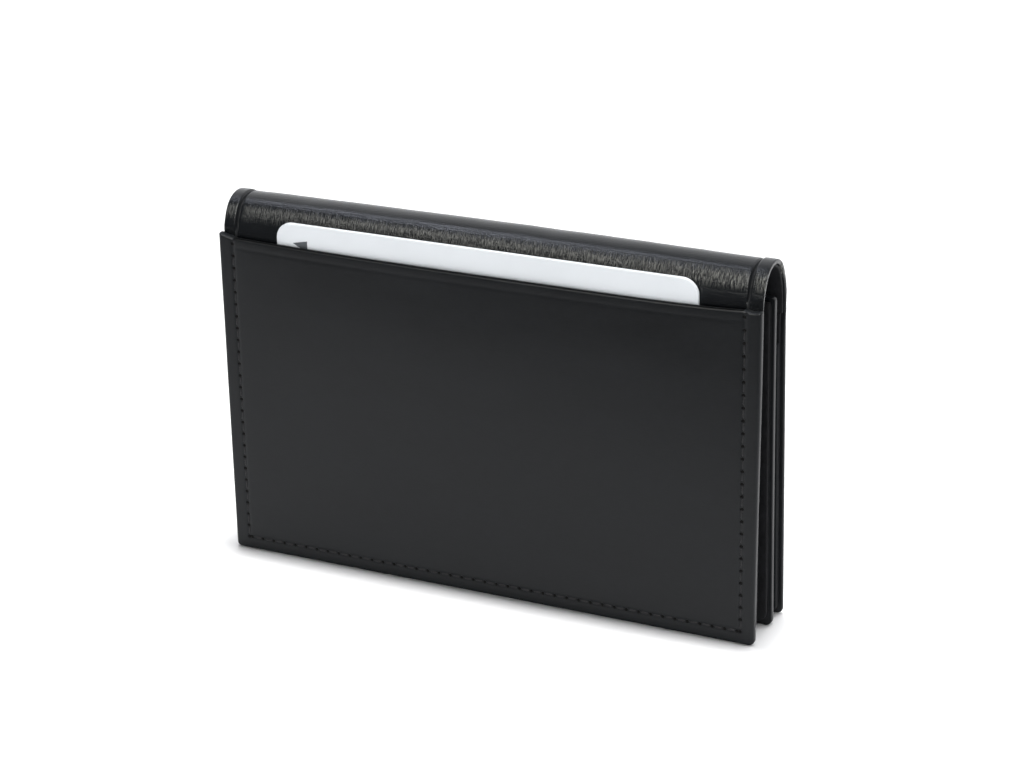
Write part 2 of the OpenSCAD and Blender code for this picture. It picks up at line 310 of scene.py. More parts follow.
def seam_places(half, lift, top):
    """(x, z, direction) of each stitch along the sides and the bottom of a panel."""
    places = []
    n = int(2 * half / STITCH_PITCH)
    for i in range(n):
        places.append(((i - (n - 1) / 2) * STITCH_PITCH, lift, Vector((1, 0, 0))))
    for side in (-1, 1):
        for i in range(int((top - lift) / STITCH_PITCH)):
            places.append((side * half, lift + (i + 0.5) * STITCH_PITCH, Vector((0, 0, 1))))
    return places


# ---- Materials ----

class Nodes:
    """A material's node tree, with short calls for the nodes that repeat."""

    def __init__(self, name):
        self.material = bpy.data.materials.new(name)
        self.material.use_nodes = True
        self.tree = self.material.node_tree
        self.shader = self.tree.nodes["Principled BSDF"]
        self.uv = self.tree.nodes.new("ShaderNodeTexCoord").outputs["UV"]

    def add(self, kind, **settings):
        node = self.tree.nodes.new(kind)
        for key, value in settings.items():
            setattr(node, key, value)
        return node

    def link(self, source, target):
        self.tree.links.new(source, target)

    def math(self, operation, a, b=None, clamp=False):
        node = self.add("ShaderNodeMath", operation=operation, use_clamp=clamp)
        for socket, value in zip(node.inputs, (a, b)):
            if isinstance(value, (int, float)):
                socket.default_value = value
            elif value is not None:
                self.link(value, socket)
        return node.outputs[0]

    def scaled(self, x, y, z=1.0):
        node = self.add("ShaderNodeMapping")
        node.inputs["Scale"].default_value = (x, y, z)
        self.link(self.uv, node.inputs["Vector"])
        return node.outputs[0]

    def noise(self, vector, scale, detail=3.0, rough=0.55, distortion=0.0):
        node = self.add("ShaderNodeTexNoise")
        node.inputs["Scale"].default_value = scale
        node.inputs["Detail"].default_value = detail
        node.inputs["Roughness"].default_value = rough
        node.inputs["Distortion"].default_value = distortion
        self.link(vector, node.inputs["Vector"])
        return node.outputs["Fac"]

    def cells(self, vector, scale):
        node = self.add("ShaderNodeTexVoronoi")
        node.inputs["Scale"].default_value = scale
        self.link(vector, node.inputs["Vector"])
        return node.outputs["Distance"]

    def ramp(self, value, low, high, out_low, out_high):
        node = self.add("ShaderNodeMapRange")
        self.link(value, node.inputs["Value"])
        for key, number in (("From Min", low), ("From Max", high), ("To Min", out_low), ("To Max", out_high)):
            node.inputs[key].default_value = number
        return node.outputs[0]

    def mix_colour(self, factor, dark, light):
        """dark is a colour or another node's output."""
        node = self.add("ShaderNodeMix", data_type="RGBA")
        self.link(factor, node.inputs["Factor"])
        if isinstance(dark, tuple):
            node.inputs["A"].default_value = (*dark, 1)
        else:
            self.link(dark, node.inputs["A"])
        node.inputs["B"].default_value = (*light, 1)
        return node.outputs["Result"]

    def bump(self, height, strength, distance, below=None):
        node = self.add("ShaderNodeBump")
        node.inputs["Strength"].default_value = strength
        node.inputs["Distance"].default_value = distance * MM
        self.link(height, node.inputs["Height"])
        if below is not None:
            self.link(below, node.inputs["Normal"])
        return node.outputs["Normal"]

    def split_uv(self):
        node = self.add("ShaderNodeSeparateXYZ")
        self.link(self.uv, node.inputs[0])
        return node.outputs["X"], node.outputs["Y"]


def hole_mask(nodes, a, b, where):
    """1 within a needle hole at (a, b) = (0, 0), where it applies."""
    away = nodes.math("SQRT", nodes.math("ADD", nodes.math("POWER", a, 2.0), nodes.math("POWER", b, 2.0)))
    return nodes.math("MULTIPLY", nodes.ramp(away, 0.24, 0.4, 1, 0), where)


def needle_holes(nodes, half, lift, top):
    """1 in the needle holes between the stitches of a panel's seam, and 0 elsewhere."""
    u, v = nodes.split_uv()
    across = nodes.math("SUBTRACT", nodes.math("ABSOLUTE", u), half)
    along = nodes.math("PINGPONG", nodes.math("SUBTRACT", v, lift), STITCH_PITCH / 2)
    inside = nodes.math("MULTIPLY", nodes.math("GREATER_THAN", v, lift - 0.5), nodes.math("LESS_THAN", v, top))
    sides = hole_mask(nodes, across, along, inside)
    n = int(2 * half / STITCH_PITCH)
    start = n % 2 * STITCH_PITCH / 2
    rise = nodes.math("SUBTRACT", v, lift)
    run = nodes.math("PINGPONG", nodes.math("ADD", u, start), STITCH_PITCH / 2)
    within = nodes.math("LESS_THAN", nodes.math("ABSOLUTE", u), half + 0.3)
    return nodes.math("MAXIMUM", sides, hole_mask(nodes, rise, run, within), clamp=True)


def leather_material(name, seam=None, streak=1.0, rough=0.4, gloss=0.24, spine=False):
    """Black calf leather with a plain finish. seam adds needle holes, painted near-black as shade, and spine
    the creases of a bend, with light strokes on the spine's shoulders painted as a highlight.
    """
    colour = (0.0052, 0.0062, 0.0075)
    nodes = Nodes(name)
    shader = nodes.shader
    flow = nodes.scaled(0.16, 1.0)
    fine = nodes.noise(flow, 3.4, 4.0, 0.6)
    cloud = nodes.noise(nodes.scaled(0.35, 1.0), 0.11, 3.0, 0.6)
    pores = nodes.cells(nodes.scaled(0.8, 1.0), 3.1)
    grain = nodes.math(
        "ADD", nodes.math("MULTIPLY", fine, 0.75 * streak), nodes.math("MULTIPLY", pores, 0.3 * streak))
    if spine:
        crease = nodes.noise(nodes.scaled(1.0, 0.16), 4.4, 2.0, 0.6, 0.45)
        wrinkle = nodes.noise(nodes.scaled(1.0, 0.5), 0.9, 2.0, 0.5, 0.6)
        ripples = nodes.math("ADD", nodes.math("MULTIPLY", crease, 2.2), nodes.math("MULTIPLY", wrinkle, 0.6))
        u, v = nodes.split_uv()
        across = nodes.math("ABSOLUTE", nodes.math("SUBTRACT", nodes.math("ABSOLUTE", u), SEAM_HALF))
        groove = nodes.ramp(across, 0.1, 0.34, 1, 0)
        middle = HINGES[STRIPS].z + SPINE_LENGTH / 2 - LEAD
        off = nodes.math("ABSOLUTE", nodes.math("SUBTRACT", v, middle))
        flank = nodes.ramp(nodes.math("ABSOLUTE", nodes.math("SUBTRACT", off, CREASED)), 2.1, 0.9, 0, 1)
        # The creases weigh more towards the right and fade by the seam. This follows the softbox's highlight,
        # which is brighter on the right.
        rightward_off_seam = nodes.math("MULTIPLY", nodes.ramp(u, -48, 48, 0.3, 1), nodes.ramp(across, 0.3, 1.6, 0, 1))
        flank = nodes.math("MULTIPLY", flank, rightward_off_seam)
        plain_end = nodes.ramp(nodes.math("SUBTRACT", middle, v), CREASED + 2, SPINE_LENGTH / 2, 0, 1)
        grain = nodes.math("ADD", nodes.math("MULTIPLY", ripples, flank), grain)
        # Light grey strokes painted into the base colour on the shoulders, kept out of the seam's groove: a
        # painted highlight of the crease grain where the mirrored softbox reflects.
        painted_highlight_strokes = nodes.math("MULTIPLY", nodes.ramp(crease, 0.47, 0.58, 0, 1), flank)
        painted_highlight_strokes = nodes.math("MULTIPLY", painted_highlight_strokes, nodes.math("SUBTRACT", 1.0, groove))
    normal = nodes.bump(grain, 1.0 if spine else 0.2, 0.15 if spine else 0.06)
    roughness = nodes.math("ADD", nodes.math("MULTIPLY", cloud, 0.6), nodes.math("MULTIPLY", fine, 0.4))
    roughness = nodes.ramp(roughness, 0.3, 0.7, rough - 0.045, rough + 0.05)
    tone = nodes.math("ADD", nodes.math("MULTIPLY", cloud, 0.5), nodes.math("MULTIPLY", fine, 0.5))
    tone = nodes.ramp(tone, 0.3, 0.7, 0, 1)
    base = nodes.mix_colour(tone, tuple(c * 0.75 for c in colour), tuple(c * 1.3 for c in colour))
    if spine:
        roughness = nodes.math("ADD", roughness, nodes.math("MULTIPLY", plain_end, 0.42 - rough))
        # Painted highlight: the light grey crease strokes go into the base colour.
        base = nodes.mix_colour(painted_highlight_strokes, base, (0.1, 0.1, 0.092))
        roughness = nodes.math("MAXIMUM", roughness, nodes.math("MULTIPLY", groove, 0.8))
    if seam:
        holes = needle_holes(nodes, *seam)
        normal = nodes.bump(nodes.math("SUBTRACT", 1.0, holes), 0.9, 0.25, normal)
        # The needle holes are painted near-black as shade in their depth; they are only bumped into the
        # surface, not cut.
        base = nodes.mix_colour(holes, base, (0.001, 0.001, 0.001))
        roughness = nodes.math("MAXIMUM", roughness, nodes.math("MULTIPLY", holes, 0.95))
    nodes.link(base, shader.inputs["Base Color"])
    nodes.link(roughness, shader.inputs["Roughness"])
    nodes.link(normal, shader.inputs["Normal"])
    shader.inputs["Specular IOR Level"].default_value = gloss
    return nodes.material


def lining_material():
    nodes = Nodes("matt_lining_leather")
    weave = nodes.cells(nodes.uv, 2.6)
    cloud = nodes.noise(nodes.uv, 0.5, 3.0)
    grain = nodes.math("ADD", weave, nodes.math("MULTIPLY", cloud, 0.8))
    tone = nodes.ramp(cloud, 0.3, 0.7, 0, 1)
    nodes.link(nodes.mix_colour(tone, (0.007, 0.0075, 0.0085), (0.012, 0.0125, 0.0145)),
               nodes.shader.inputs["Base Color"])
    nodes.link(nodes.ramp(cloud, 0.3, 0.7, 0.52, 0.64), nodes.shader.inputs["Roughness"])
    nodes.link(nodes.bump(grain, 0.3, 0.12), nodes.shader.inputs["Normal"])
    nodes.shader.inputs["Specular IOR Level"].default_value = 0.2
    return nodes.material


def thread_material():
    nodes = Nodes("waxed_black_thread")
    fibre = nodes.noise(nodes.scaled(1.0, 9.0), 5.0, 2.0)
    nodes.link(nodes.mix_colour(fibre, (0.006, 0.006, 0.007), (0.02, 0.02, 0.022)),
               nodes.shader.inputs["Base Color"])
    nodes.link(nodes.ramp(fibre, 0.3, 0.7, 0.45, 0.6), nodes.shader.inputs["Roughness"])
    nodes.shader.inputs["Specular IOR Level"].default_value = 0.3
    nodes.link(nodes.bump(fibre, 0.5, 0.05), nodes.shader.inputs["Normal"])
    return nodes.material


def card_material():
    nodes = Nodes("white_card_plastic")
    cloud = nodes.noise(nodes.uv, 0.05, 2.0)
    peel = nodes.noise(nodes.uv, 1.6, 2.0)
    nodes.link(nodes.mix_colour(cloud, (0.72, 0.75, 0.775), (0.74, 0.77, 0.795)),
               nodes.shader.inputs["Base Color"])
    nodes.link(nodes.ramp(cloud, 0.3, 0.7, 0.29, 0.34), nodes.shader.inputs["Roughness"])
    nodes.link(nodes.bump(peel, 0.08, 0.02), nodes.shader.inputs["Normal"])
    return nodes.material


def print_material():
    nodes = Nodes("grey_card_print")
    speck = nodes.noise(nodes.uv, 6.0, 2.0)
    nodes.link(nodes.mix_colour(speck, (0.055, 0.062, 0.07), (0.085, 0.095, 0.105)),
               nodes.shader.inputs["Base Color"])
    nodes.link(nodes.ramp(speck, 0.3, 0.7, 0.4, 0.5), nodes.shader.inputs["Roughness"])
    return nodes.material


def board_material():
    """Bonded leather fibre. It works from object coordinates, because the CAD boards have no UVs."""
    nodes = Nodes("bonded_fibre_board")
    place = nodes.tree.nodes["Texture Coordinate"].outputs["Object"]
    fibre = nodes.noise(place, 900.0, 5.0, 0.7, 1.2)
    nodes.link(nodes.mix_colour(fibre, (0.12, 0.085, 0.055), (0.27, 0.2, 0.14)),
               nodes.shader.inputs["Base Color"])
    nodes.link(nodes.ramp(fibre, 0.3, 0.7, 0.75, 0.9), nodes.shader.inputs["Roughness"])
    nodes.link(nodes.bump(fibre, 0.4, 0.1), nodes.shader.inputs["Normal"])
    return nodes.material


pocket_leather = leather_material("pocket_leather", (SEAM_HALF, SEAM_LIFT, SEAM_TOP + 0.6), 1.0, 0.4)
panel_leather = leather_material("panel_leather", (SEAM_HALF, SEAM_LIFT, SEAM_TOP + 0.6), 0.8, 0.42)
flap_leather = leather_material("flap_leather", (SEAM_HALF, SEAM_LIFT, SEAM_TOP + 0.6), 0.8, 0.42, gloss=0.38)
plain_leather = leather_material("plain_leather", None, 0.8, 0.42)
inner_leather = leather_material("inner_leather", None, 0.8, 0.52, gloss=0.1)
lining = lining_material()
thread = thread_material()
card_white = card_material()
card_print = print_material()
fibre_board = board_material()


# ---- Outside pocket ----

MOUTH_BOW = 0.5
BOW_AT = 51.0
MOUTH_SAG = 0.62
FOOT_TAPER = 0.5
HEM = 2.0


def bow(x, z):
    """How far the card pushes the pocket out of flat, most a little below its mouth."""
    across = max(0.0, 1 - (x / SEAM_HALF) ** 2)
    up = smooth((z - 12) / (BOW_AT - 12)) * (1 - 0.75 * smooth((z - BOW_AT) / (MOUTH + 1 - BOW_AT)))
    return MOUTH_BOW * across * up


def mouth_shape(x):
    """The mouth's rise and fall: it sags a little between the seams and dips beyond the right one."""
    sag = -MOUTH_SAG * max(0.0, 1 - abs(x / SEAM_HALF) ** (6 if x > 0 else 2.5))
    beyond = max(0.0, abs(x) - SEAM_HALF) / (POCKET_HALF - SEAM_HALF)
    dip = -0.32 * math.sin(math.pi * min(beyond, 1.0)) if x > 0 else 0.75 * beyond ** 1.5
    return sag + dip - 0.12 * bell(abs(x) - SEAM_HALF, 0.3)


def seam_channel(x, z, depth, top):
    """Shallow channel that the thread pulls into the leather."""
    sides = bell(abs(x) - SEAM_HALF, 0.42) * smooth((top + 1.2 - z) / 1.2) * smooth((z - SEAM_LIFT + 0.6) / 0.6)
    bottom = bell(z - SEAM_LIFT, 0.42) * smooth((SEAM_HALF + 0.6 - abs(x)) / 0.6)
    return depth * max(sides, bottom)


def cushion(x, z, top, rise):
    """The field inside the seam stands slightly fuller than the sewn border."""
    d = min(SEAM_HALF - abs(x), z - SEAM_LIFT, top + 4 - z)
    return rise * smooth(d / 3.0)


def pocket_front(x, z):
    crease = 0.03 * bell(z - (MOUTH + mouth_shape(x) - HEM), 0.4) * smooth((SEAM_HALF - abs(x)) / 1.0)
    full = cushion(x, z, MOUTH, 0.06) + bow(x, z)
    return seam_channel(x, z, 0.13, MOUTH) + crease - full + uneven(x, z, 1)


def pocket_back(x, z):
    """The border is as deep as the pocket, and the middle only as deep as its leather."""
    border = max(abs(x) - (POCKET_HALF - EDGE_BAND), EDGE_BAND - z)
    wall = smooth(border / 0.12 + 0.5)
    return (POCKET_LEATHER - bow(x, z)) * (1 - wall) + POCKET_DEPTH * wall


def pocket_narrow(x, z):
    """The right border gets narrower towards the foot."""
    return FOOT_TAPER * smooth(1 - z / MOUTH) * smooth((x - SEAM_HALF + 0.3) / 2.0)


def at_front(x, depth, z):
    return Vector((x, FRONT + depth, z))


SEAM_COLUMNS = [(-SEAM_HALF, 1.0, 0.14), (SEAM_HALF, 1.0, 0.14)]
SEAM_ROWS = [(SEAM_LIFT, 1.0, 0.14)]
BORDER_COLUMNS = [(side * (POCKET_HALF - EDGE_BAND), 0.12, 0.04) for side in (-1, 1)]

pocket = panel(
    "outside_pocket_leather", POCKET_HALF, MOUTH, at_front, pocket_leather, "case_leather",
    pocket_front, pocket_back, 0.62, 0.3, low_r=1.0, high_r=0.5,
    columns=SEAM_COLUMNS + BORDER_COLUMNS,
    rows=SEAM_ROWS + [(EDGE_BAND, 0.12, 0.04), (MOUTH - HEM, 0.9, 0.15)],
    step=1.4, top=mouth_shape, narrow=pocket_narrow)
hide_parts("outside_pocket", "pocket_edge_left", "pocket_edge_right", "pocket_edge_bottom")
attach(pocket, "front_half")

pocket_inside = panel(
    "outside_pocket_lining", POCKET_HALF - EDGE_BAND - 0.2, MOUTH - EDGE_BAND - 1.2, at_front, lining,
    "lining_leather",
    lambda x, z: POCKET_LEATHER + 0.01 - bow(x, z + EDGE_BAND + 0.2),
    lambda x, z: POCKET_WALL - bow(x, z + EDGE_BAND + 0.2),
    0.08, 0.12, low_r=0.5, high_r=0.3, step=2.5, base=EDGE_BAND + 0.2)
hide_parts("pocket_lining")
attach(pocket_inside, "front_half")

front_threads = thread_piece(
    "pocket_seam_thread",
    [(at_front(x, pocket_front(x, z), z), direction, Vector((0, -1, 0)))
     for x, z, direction in seam_places(SEAM_HALF, SEAM_LIFT, SEAM_TOP)], thread)
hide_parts("front_stitches")
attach(front_threads, "front_half")


# ---- Spine: one skin and one lining, bent over the arch ----

def flat(p):
    return Vector((p.y, p.z))


strip_turn = (flat(HINGES[2]) - flat(HINGES[1])).angle(flat(HINGES[3]) - flat(HINGES[2]))
shoulder_r = (HINGES[1] - HINGES[0]).length / (2 * math.sin(strip_turn / 2))
crown_r = (HINGES[2] - HINGES[1]).length / (2 * math.sin(strip_turn / 2))
LEAD = 3.0


def outward(turn):
    return Vector((-math.cos(turn), math.sin(turn)))


def spine_stretches():
    """The arch's outline as (start, length, start point, start turn, radius) from the cover to the flap."""
    stretches = []
    start, turn = 0.0, 0.0
    point = flat(HINGES[0]) - Vector((0, LEAD))
    lead, shoulder = (0, LEAD), (shoulder_r, shoulder_r * strip_turn)
    arcs = [lead, shoulder] + [(crown_r, crown_r * strip_turn)] * (STRIPS - 2) + [shoulder, lead]
    for radius, length in arcs:
        stretches.append((start, length, point, turn, radius))
        if radius:
            centre = point - radius * outward(turn)
            turn += length / radius
            point = centre + radius * outward(turn)
        else:
            point = point + length * Vector((math.sin(turn), math.cos(turn)))
        start += length
    return stretches


STRETCHES = spine_stretches()
SPINE_LENGTH = STRETCHES[-1][0] + STRETCHES[-1][1]
HINGE_AT = [stretch[0] for stretch in STRETCHES[1:]]
CUTS = [0.0] + [(a + b) / 2 for a, b in zip(HINGE_AT, HINGE_AT[1:])] + [SPINE_LENGTH]


CREASED = SPINE_LENGTH / 2 - LEAD - shoulder_r * strip_turn
spine_leather = leather_material("spine_leather", None, 0.3, 0.23, gloss=0.38, spine=True)


def spine_point(s):
    """Point on the arch's outer face, as (y, z), and the turn there."""
    for start, length, point, turn, radius in reversed(STRETCHES):
        if s >= start - 1e-9:
            if radius:
                centre = point - radius * outward(turn)
                turn = turn + (s - start) / radius
                return centre + radius * outward(turn), turn
            return point + (s - start) * Vector((math.sin(turn), math.cos(turn))), turn


def at_spine(x, depth, s):
    point, turn = spine_point(s)
    place = point - depth * outward(turn)
    return Vector((x, place.x, place.y))


BAND_RISE = 0.2
CROWN_FULLNESS = 0.3
# The texture runs on from the flap's panel, whose v is its height
SPINE_V = HINGES[STRIPS].z + SPINE_LENGTH - LEAD


def spine_outer(x, s):
    """Relief of the spine's outer face: sewn bands at both ends, and slow waves between them."""
    point, turn = spine_point(s)
    clear = smooth((point.y - MOUTH - 0.2) / 1.5) if turn < math.pi / 2 else smooth((point.y - MOUTH + 3) / 3)
    beyond = abs(x) - SEAM_HALF
    band = BAND_RISE * smooth(beyond / 0.5) * clear
    groove = 0.5 * bell(beyond, 0.26) * clear
    field = smooth(-beyond / 3)
    waves = field * (0.05 * ripple(x * 0.6, s, 5, 3) + 0.03 * ripple(x, s * 0.5, 2.2, 4)) * clear
    full = CROWN_FULLNESS * (1.4 - (x / COVER_HALF) ** 2) * smooth((point.y - MOUTH - 2.5) / 4)
    return groove - band + waves - full


def spine_solid(name, first, last, half, near, far, edge_r, material, slot_name, fine):
    """Closed stretch of the spine between two stations, from depth near(x, s) to far(x, s)."""
    count = max(4, round((last - first) / fine))
    stations = [first + (last - first) * i / count for i in range(count + 1)]
    xs = positions(-half, half, 1.3, [(-SEAM_HALF, 1.1, 0.12), (SEAM_HALF, 1.1, 0.12)])
    xs = merge(xs, edge_rings(-half, half, edge_r))
    outer, inner, uvs = [], [], []
    for x in xs:
        fall = rounding(half - abs(x), edge_r)
        outer.append([at_spine(x, near(x, s) + fall, s) for s in stations])
        inner.append([at_spine(x, far(x, s) - fall, s) for s in stations])
        uvs.append([(x, SPINE_V - s) for s in stations])
    points, faces, texture = grid_solid(outer, inner, uvs)
    piece = mesh_piece(name, points, faces, texture, material, slot_name)
    sharpen_ends(piece, len(stations), (0, len(stations) - 1))
    return piece


def bend(piece):
    """Bakes a piece's placement into its mesh."""
    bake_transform(piece)


def spine_stitch_places():
    """Stations of the stitches that cross the spine near each end, clear of the pocket's mouth."""
    low = HINGE_AT[0] + 1.9
    high = SPINE_LENGTH - 0.6
    n = int((high - low) / STITCH_PITCH)
    return [low + (i + 0.5) * (high - low) / n for i in range(n)]


for k in range(STRIPS + 1):
    skin = spine_solid(
        f"spine_skin_{k + 1}", CUTS[k], CUTS[k + 1], COVER_HALF, spine_outer, lambda x, s: LEATHER,
        0.28, spine_leather, "spine_leather", 0.13)
    inside = spine_solid(
        f"spine_inner_lining_{k + 1}", CUTS[k], CUTS[k + 1], LINING_HALF + 0.35, lambda x, s: LEATHER + 0.005,
        lambda x, s: LEATHER + LINING, 0.2, lining, "lining_leather", 0.3)
    stitches = []
    for s in spine_stitch_places():
        if CUTS[k] <= s < CUTS[k + 1]:
            point, turn = spine_point(s)
            along = Vector((0, math.sin(turn), math.cos(turn)))
            normal = Vector((0, outward(turn).x, outward(turn).y))
            for side in (-1, 1):
                x = side * SEAM_HALF
                stitches.append((at_spine(x, spine_outer(x, s) + 0.02, s), along, normal))
    pieces = [skin, inside]
    if stitches:
        pieces.append(thread_piece(f"spine_thread_{k + 1}", stitches, thread))
    if k < STRIPS:
        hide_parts(f"spine_cover_{k + 1}")
        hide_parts(f"spine_lining_{k + 1}")
        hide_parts(f"spine_stitches_{k + 1}")
    for piece in pieces:
        bend(piece)


# ---- Front half behind the pocket ----

COVER_TOP = HINGES[0].z - LEAD
COVER_Y = cover_low.y - FRONT


def cover_narrow(x, z):
    """The cover's side edges draw in below the spine, behind the pocket's edges."""
    return 0.5 * smooth((56 - z) / 12) * abs(x) / COVER_HALF + pocket_narrow(x, z)


front_cover = panel(
    "front_cover_leather", COVER_HALF, COVER_TOP, at_front, plain_leather, "case_leather",
    lambda x, z: COVER_Y + 0.005, lambda x, z: COVER_Y + LEATHER, 0.2, 0.28, low_r=1.0, high_r=0,
    step=2.2, narrow=cover_narrow)
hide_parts("front_cover")
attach(front_cover, "front_half")

front_inside = panel(
    "front_half_lining", LINING_HALF + 0.35, COVER_TOP - LINING_INSET, at_front, lining, "lining_leather",
    lambda x, z: front_lining_low.y - FRONT - 0.28 * smooth((abs(x) - LINING_HALF + 1.0) / 0.5),
    lambda x, z: front_lining_high.y - FRONT, 0.12, 0.25, low_r=1.0, high_r=0,
    step=2.2, base=LINING_INSET, narrow=cover_narrow)
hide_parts("front_lining")
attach(front_inside, "front_half")

front_board_low, front_board_high = box("front_board")
front_fibre = panel(
    "front_fibre_board", front_board_high.x, front_board_high.z - front_board_low.z, at_front, fibre_board,
    "stiffening_board", lambda x, z: front_board_low.y - FRONT + 0.01,
    lambda x, z: front_board_high.y - FRONT - 0.01, 0.05, 0.05,
    low_r=0.5, high_r=0.5, step=4, base=front_board_low.z, narrow=lambda x, z: 0.2 + cover_narrow(x, z))
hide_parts("front_board")
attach(front_fibre, "front_half")


# ---- Flap ----

FLAP_TOP = HINGES[STRIPS]
SPLAY = math.pi - spine_point(SPINE_LENGTH)[1]
FLAP_LENGTH = (FLAP_TOP.z - box("flap_cover")[0].z) / math.cos(SPLAY)
FLAP_COVER_H = FLAP_LENGTH - LEAD
flap_pocket_low, flap_pocket_high = box("flap_pocket")
INNER_GAP = 0.4
FLAP_POCKET_AT = COVER_DEPTH + LINING + INNER_GAP
FLAP_POCKET_H = (flap_pocket_high.z - flap_pocket_low.z) / math.cos(SPLAY)


def at_flap(x, depth, z):
    """depth goes inward from the flap's outer face, and z up from its lower edge."""
    down = FLAP_LENGTH - z
    return Vector((
        x,
        FLAP_TOP.y + down * math.sin(SPLAY) - depth * math.cos(SPLAY),
        FLAP_TOP.z - down * math.cos(SPLAY) - depth * math.sin(SPLAY)))


def flap_outer(x, z):
    settle = smooth((FLAP_COVER_H - z) / 6)
    return (seam_channel(x, z, 0.13, SEAM_TOP) - cushion(x, z, MOUTH, 0.06) + uneven(x, z, 11)) * settle


def flap_back(x, z):
    """The turned edge is as deep as leather and board together."""
    border = max(abs(x) - (COVER_HALF - TURNED_EDGE), TURNED_EDGE - z)
    return LEATHER + (COVER_DEPTH - LEATHER) * smooth(border / 0.1 + 0.5) * smooth((FLAP_COVER_H - z) / 2)


flap_cover = panel(
    "flap_cover_leather", COVER_HALF, FLAP_COVER_H, at_flap, flap_leather, "case_leather",
    flap_outer, flap_back, 0.42, 0.25, low_r=LEAF_CORNER, high_r=0,
    columns=SEAM_COLUMNS + [(side * (COVER_HALF - TURNED_EDGE), 0.1, 0.04) for side in (-1, 1)],
    rows=SEAM_ROWS + [(TURNED_EDGE, 0.1, 0.04)], step=1.5)
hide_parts("flap_cover")
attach(flap_cover, "flap")

def lining_step(z):
    """Above the board, the flap's lining lies on the cover leather."""
    return 0.29 * smooth((z - FLAP_COVER_H + 4) / 2.5)


flap_inside = panel(
    "flap_inner_lining", LINING_HALF, FLAP_COVER_H - LINING_INSET, at_flap, lining, "lining_leather",
    lambda x, z: COVER_DEPTH + 0.005 - lining_step(z), lambda x, z: COVER_DEPTH + LINING - lining_step(z),
    0.1, 0.2, low_r=LEAF_CORNER, high_r=0, step=2.2, base=LINING_INSET)
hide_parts("flap_lining")
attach(flap_inside, "flap")


def flap_pocket_front(x, z):
    """Inner face of the flap's pocket, seen from inside the case, as a depth from the flap's outer face."""
    hem = 0.06 * bell(z - (FLAP_POCKET_H - HEM), 0.32)
    relief = seam_channel(x, z + LINING_INSET, 0.1, FLAP_POCKET_H) + hem
    return FLAP_POCKET_AT + LEATHER - relief + 0.05 * smooth(z / 40) * max(0, 1 - (x / SEAM_HALF) ** 2)


def flap_pocket_back(x, z):
    border = max(abs(x) - (COVER_HALF - EDGE_BAND), EDGE_BAND - LINING_INSET - z)
    return FLAP_POCKET_AT - (INNER_GAP - 0.01) * smooth(border / 0.12 + 0.5)


flap_pocket = panel(
    "flap_pocket_leather", LINING_HALF, FLAP_POCKET_H, at_flap, inner_leather, "case_leather",
    flap_pocket_back, flap_pocket_front, 0.15, 0.3, low_r=LEAF_CORNER, high_r=0.4,
    columns=SEAM_COLUMNS + [(side * (COVER_HALF - EDGE_BAND), 0.12, 0.04) for side in (-1, 1)],
    rows=[(SEAM_LIFT - LINING_INSET, 1.0, 0.14), (FLAP_POCKET_H - HEM, 0.9, 0.15)],
    step=1.6, base=LINING_INSET)
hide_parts("flap_pocket", "flap_pocket_edge_left", "flap_pocket_edge_right",
            "flap_pocket_edge_bottom")
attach(flap_pocket, "flap")

FLAP_NORMAL = Vector((0, math.cos(SPLAY), math.sin(SPLAY)))
FLAP_UP = Vector((0, -math.sin(SPLAY), math.cos(SPLAY)))


def flap_direction(direction):
    return FLAP_UP if direction.z else direction


FLAP_SEAM_TOP = FLAP_COVER_H - 0.4
flap_threads = thread_piece(
    "flap_seam_thread",
    [(at_flap(x, flap_outer(x, z), z), flap_direction(direction), FLAP_NORMAL)
     for x, z, direction in seam_places(SEAM_HALF, SEAM_LIFT, FLAP_SEAM_TOP)]
    + [(at_flap(x, flap_pocket_front(x, z - LINING_INSET), z), flap_direction(direction), -FLAP_NORMAL)
       for x, z, direction in seam_places(SEAM_HALF, SEAM_LIFT, FLAP_POCKET_H - 0.5)], thread)
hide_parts("flap_stitches")
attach(flap_threads, "flap")


# ---- Middle leaf ----

LEAF_BACK = leaf_high.y
LEAF_LEAN = 1.4
LEAF_EDGE = leaf_high.y - leaf_lining_low.y - 0.05


def leaf_lean(z):
    """How far the leaf stands back from upright, most at its foot."""
    return LEAF_LEAN * max(0.0, 1 - z / MOUTH) ** 1.6


def at_leaf(x, depth, z):
    """depth goes forward from the leaf's leather face, which looks at the flap."""
    return Vector((x, LEAF_BACK - depth + leaf_lean(z), z))


def leaf_outer(x, z):
    return seam_channel(x, z, 0.12, SEAM_TOP) - cushion(x, z, MOUTH, 0.05) + 0.03 * ripple(x, z, 13, 21)


def leaf_back(x, z):
    border = max(abs(x) - (LEAF_HALF - TURNED_EDGE), TURNED_EDGE - z, z - (MOUTH - TURNED_EDGE))
    return LEATHER + (LEAF_EDGE - LEATHER) * smooth(border / 0.1 + 0.5)


leaf = panel(
    "leaf_leather_face", LEAF_HALF, MOUTH, at_leaf, panel_leather, "case_leather", leaf_outer, leaf_back,
    0.42, 0.2, low_r=LEAF_CORNER, high_r=0.7,
    columns=SEAM_COLUMNS + [(side * (LEAF_HALF - TURNED_EDGE), 0.1, 0.04) for side in (-1, 1)],
    rows=SEAM_ROWS + [(TURNED_EDGE, 0.1, 0.04), (MOUTH - TURNED_EDGE, 0.1, 0.04)], step=1.6)
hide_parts("leaf_leather")
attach(leaf, "leaf")

LEAF_LINING_AT = LEAF_BACK - leaf_lining_high.y
leaf_inside = panel(
    "leaf_front_lining", leaf_lining_high.x + 0.3, leaf_lining_high.z - leaf_lining_low.z, at_leaf, lining,
    "lining_leather", lambda x, z: LEAF_LINING_AT + 0.005,
    lambda x, z: LEAF_LINING_AT + LINING - 0.04 * ripple(x, z, 11, 31), 0.12, 0.25,
    low_r=LEAF_CORNER, high_r=1.0, step=1.8, base=leaf_lining_low.z)
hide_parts("leaf_lining")
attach(leaf_inside, "leaf")

